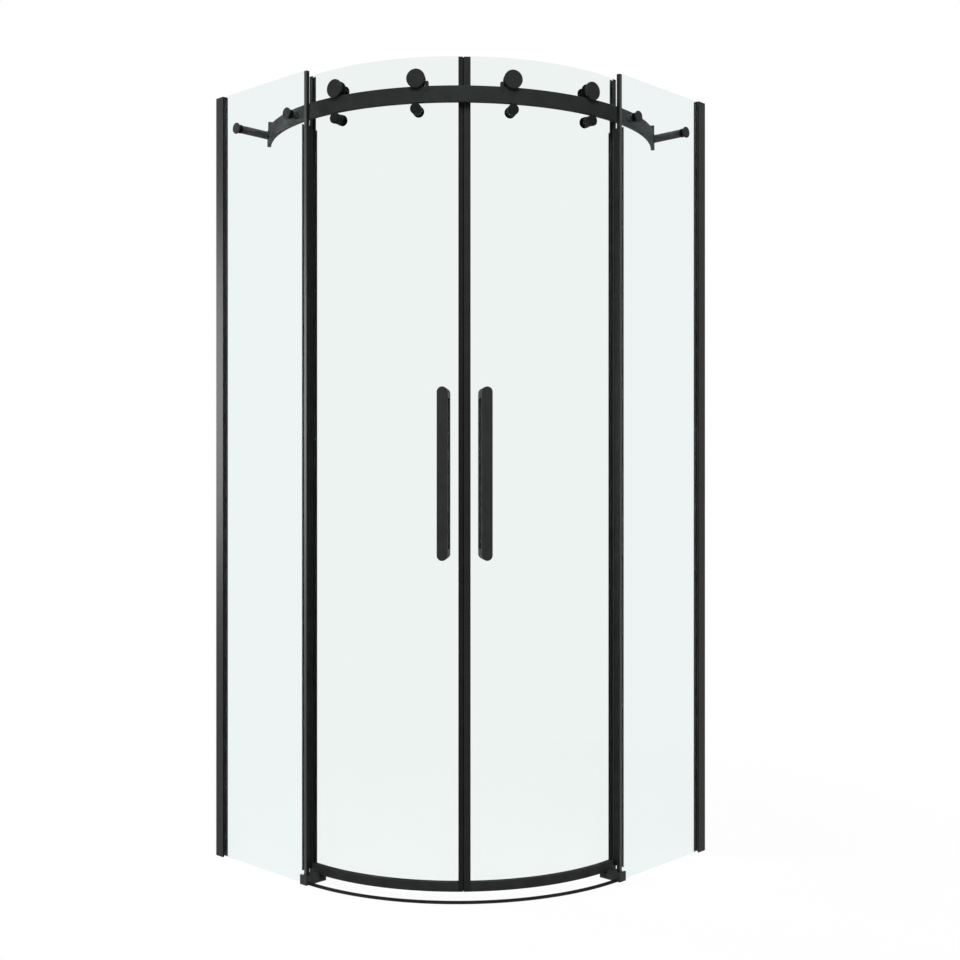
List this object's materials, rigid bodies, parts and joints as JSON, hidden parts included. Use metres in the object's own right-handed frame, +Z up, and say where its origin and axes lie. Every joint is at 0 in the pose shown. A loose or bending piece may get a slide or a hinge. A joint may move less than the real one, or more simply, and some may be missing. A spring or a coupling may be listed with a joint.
{
  "type": "corner shower enclosure",
  "caption": "Quadrant corner shower enclosure: fixed glass sides in black wall channels, curved glass doors that roll apart on a curved rail, and pull handles inside and out.",
  "frame": {"origin": "centre of the footprint's bounding square, on the floor", "axes": "+Z up; the walls are at the +X and +Y faces, and the rounded front faces -X and -Y"},
  "size_m": [0.9, 0.9, 1.95],
  "materials": {
    "profile_black": "satin black powder coat",
    "rail_black": "satin black powder coat",
    "hardware_black": "satin black",
    "handle_black": "satin black powder coat",
    "trim_black": "matt",
    "foot_metal": "satin dark grey",
    "threshold_metal": "satin black",
    "guide_plastic": "matt",
    "gasket_rubber": "matt",
    "magnet_rubber": "matt",
    "seal_black": "matt",
    "fixed_glass": "clear, polished",
    "door_glass": "clear, polished, curved",
    "wheel_nylon": "matt black",
    "bearing_steel": "bright",
    "screw_steel": "bright"
  },
  "bodies": {
    "frame": {"wall_channel_right": "profile_black", "wall_channel_left": "profile_black", "wall_channel_caps": "trim_black", "channel_gaskets": "gasket_rubber", "fixed_glass_right": "fixed_glass", "fixed_glass_left": "fixed_glass", "jamb_profile_right": "profile_black", "jamb_profile_left": "profile_black", "jamb_caps": "trim_black", "foot_block_right": "foot_metal", "foot_block_left": "foot_metal", "door_guides": "guide_plastic", "threshold_strip": "threshold_metal", "curved_rail": "rail_black", "short_rail_holders": "hardware_black", "long_rail_holders": "hardware_black", "holder_caps": "hardware_black", "holder_gaskets": "gasket_rubber", "rail_screws": "screw_steel", "rail_stops": "hardware_black", "stop_screws": "screw_steel"},
    "door_right": {"door_glass_right": "door_glass", "centre_stile_right": "profile_black", "jamb_stile_right": "profile_black", "bottom_rail_right": "profile_black", "magnet_strip_right": "magnet_rubber", "wing_seal_right": "seal_black", "handle_outer_right": "handle_black", "handle_inner_right": "handle_black", "handle_studs_right": "screw_steel", "handle_gaskets_right": "gasket_rubber", "roller_axles_right": "screw_steel", "roller_caps_right": "hardware_black", "roller_nuts_right": "hardware_black", "roller_grommets_right": "gasket_rubber", "antilift_guards_right": "hardware_black"},
    "door_left": {"door_glass_left": "door_glass", "centre_stile_left": "profile_black", "jamb_stile_left": "profile_black", "bottom_rail_left": "profile_black", "magnet_strip_left": "magnet_rubber", "wing_seal_left": "seal_black", "handle_outer_left": "handle_black", "handle_inner_left": "handle_black", "handle_studs_left": "screw_steel", "handle_gaskets_left": "gasket_rubber", "roller_axles_left": "screw_steel", "roller_caps_left": "hardware_black", "roller_nuts_left": "hardware_black", "roller_grommets_left": "gasket_rubber", "antilift_guards_left": "hardware_black"},
    "wheel_right_inner": {"wheel_right_inner": "wheel_nylon", "bearing_right_inner": "bearing_steel"},
    "wheel_right_outer": {"wheel_right_outer": "wheel_nylon", "bearing_right_outer": "bearing_steel"},
    "wheel_left_inner": {"wheel_left_inner": "wheel_nylon", "bearing_left_inner": "bearing_steel"},
    "wheel_left_outer": {"wheel_left_outer": "wheel_nylon", "bearing_left_outer": "bearing_steel"}
  },
  "joints": [
    {"name": "door_right_travel", "type": "hinge", "parent": "frame", "child": "door_right", "pos_m": [0.093, 0.093, 0], "axis": [0, 0, 1], "range_deg": [0, 36.3]},
    {"name": "door_left_travel", "type": "hinge", "parent": "frame", "child": "door_left", "pos_m": [0.093, 0.093, 0], "axis": [0, 0, -1], "range_deg": [0, 36.3]},
    {"name": "wheel_right_inner_spin", "type": "hinge", "parent": "door_right", "child": "wheel_right_inner", "pos_m": [-0.18263, -0.33966, 1.894], "axis": [-0.5373, -0.8434, 0], "range_deg": [-1095, 0]},
    {"name": "wheel_right_outer_spin", "type": "hinge", "parent": "door_right", "child": "wheel_right_outer", "pos_m": [0.01275, -0.41368, 1.894], "axis": [-0.1564, -0.9877, 0], "range_deg": [-1095, 0]},
    {"name": "wheel_left_inner_spin", "type": "hinge", "parent": "door_left", "child": "wheel_left_inner", "pos_m": [-0.33966, -0.18263, 1.894], "axis": [-0.8434, -0.5373, 0], "range_deg": [0, 1095]},
    {"name": "wheel_left_outer_spin", "type": "hinge", "parent": "door_left", "child": "wheel_left_outer", "pos_m": [-0.41368, 0.01275, 1.894], "axis": [-0.9877, -0.1564, 0], "range_deg": [0, 1095]}
  ],
  "couplings": [
    {"joint": "wheel_right_inner_spin", "follows": "door_right_travel", "ratio": -30.059},
    {"joint": "wheel_right_outer_spin", "follows": "door_right_travel", "ratio": -30.059},
    {"joint": "wheel_left_inner_spin", "follows": "door_left_travel", "ratio": 30.059},
    {"joint": "wheel_left_outer_spin", "follows": "door_left_travel", "ratio": 30.059}
  ]
}
